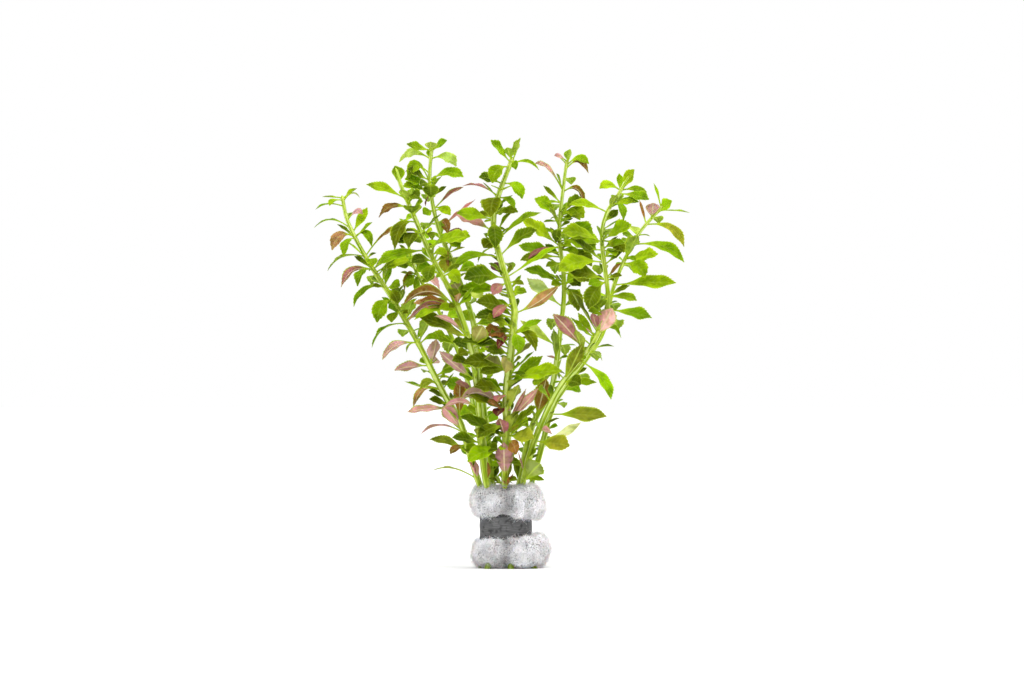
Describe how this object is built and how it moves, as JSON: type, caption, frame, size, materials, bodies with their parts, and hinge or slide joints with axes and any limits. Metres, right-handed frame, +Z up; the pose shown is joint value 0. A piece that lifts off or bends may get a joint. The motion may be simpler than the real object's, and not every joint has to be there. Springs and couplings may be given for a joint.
{
  "type": "mini rice paddy herb bunch",
  "caption": "Standing bunch of leafy cut stems of an aquarium plant, in a filter wool collar pinched at its waist by a lead strip.",
  "frame": {"origin": "middle of the flat underside of the wool collar, on the surface that the bunch stands on", "axes": "+Z up along the bunch, +X to the right seen from the front, -Y to the front"},
  "size_m": [0.1569, 0.0866, 0.18],
  "materials": {
    "plant": "soft satin leaf and stem, bright green with paler ribs and some pink and brown leaves",
    "wool": "white matted fibres with a fine sparkle",
    "lead": "dull dark grey with faint streaks along the strip"
  },
  "bodies": {
    "root": {"stem_far_left": "plant", "stem_left_back": "plant", "stem_left_front": "plant", "stem_left_centre": "plant", "stem_centre": "plant", "stem_right_back": "plant", "stem_right_front": "plant", "stem_far_right": "plant", "filter_wool": "wool", "lead_strip": "lead"}
  },
  "joints": []
}
